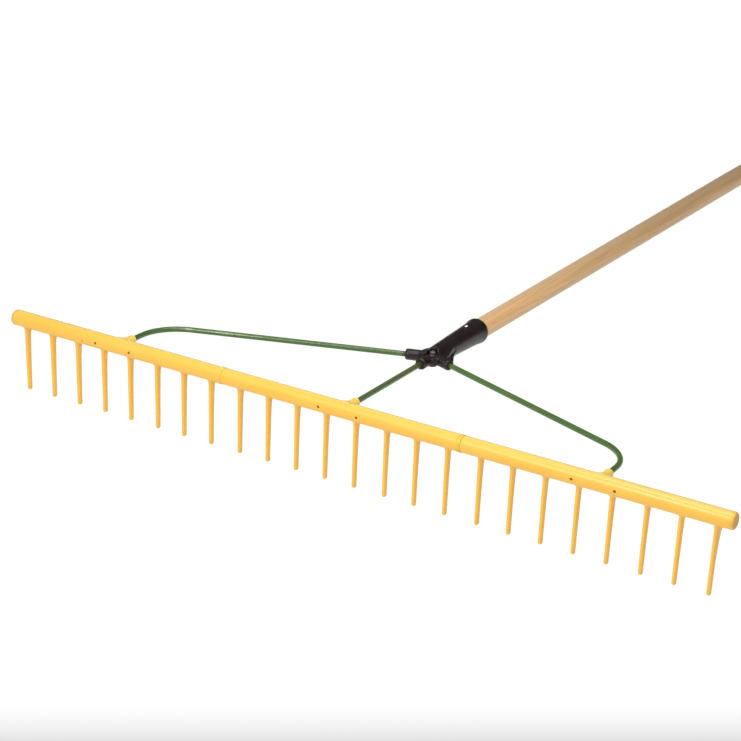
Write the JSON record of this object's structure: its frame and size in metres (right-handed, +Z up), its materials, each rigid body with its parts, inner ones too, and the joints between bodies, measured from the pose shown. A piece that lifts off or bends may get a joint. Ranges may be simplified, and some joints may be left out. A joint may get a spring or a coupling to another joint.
{
  "type": "maintenance rake",
  "caption": "Wide long-handled rake: a straight tube bar of tapered teeth in joined sections, braced by bent rods to a clamp socket on a round wooden handle.",
  "frame": {"origin": "middle of the base of the outer box, on the surface that the tooth tips and the far end of the handle rest on", "axes": "+X along the bar, to the right seen from the front; +Y from the bar back along the handle; +Z up, the teeth point down"},
  "size_m": [0.998, 1.7728, 0.1119],
  "materials": {
    "bar_plastic": "warm yellow moulded plastic, slightly glossy",
    "socket_plastic": "black moulded plastic, satin",
    "rod_coating": "green coated steel rod, satin",
    "handle_wood": "pale turned wood, lightly sealed",
    "fastener_steel": "plated steel",
    "screw_steel": "dark steel, set deep in the bar",
    "tube_metal": "drawn tube, mill finish"
  },
  "bodies": {
    "root": {"left_rake_section": "bar_plastic", "middle_rake_section": "bar_plastic", "right_rake_section": "bar_plastic", "left_end_cap": "bar_plastic", "right_end_cap": "bar_plastic", "core_tube": "tube_metal", "left_brace_rod": "rod_coating", "centre_brace_rod": "rod_coating", "right_brace_rod": "rod_coating", "handle_socket": "socket_plastic", "clamp_plate": "socket_plastic", "clamp_bolt": "fastener_steel", "clamp_washer": "fastener_steel", "clamp_nut": "fastener_steel", "handle": "handle_wood", "handle_screw": "fastener_steel", "left_section_screw_a": "screw_steel", "left_section_screw_b": "screw_steel", "middle_section_screw_a": "screw_steel", "middle_section_screw_b": "screw_steel", "right_section_screw_a": "screw_steel", "right_section_screw_b": "screw_steel"}
  },
  "joints": []
}
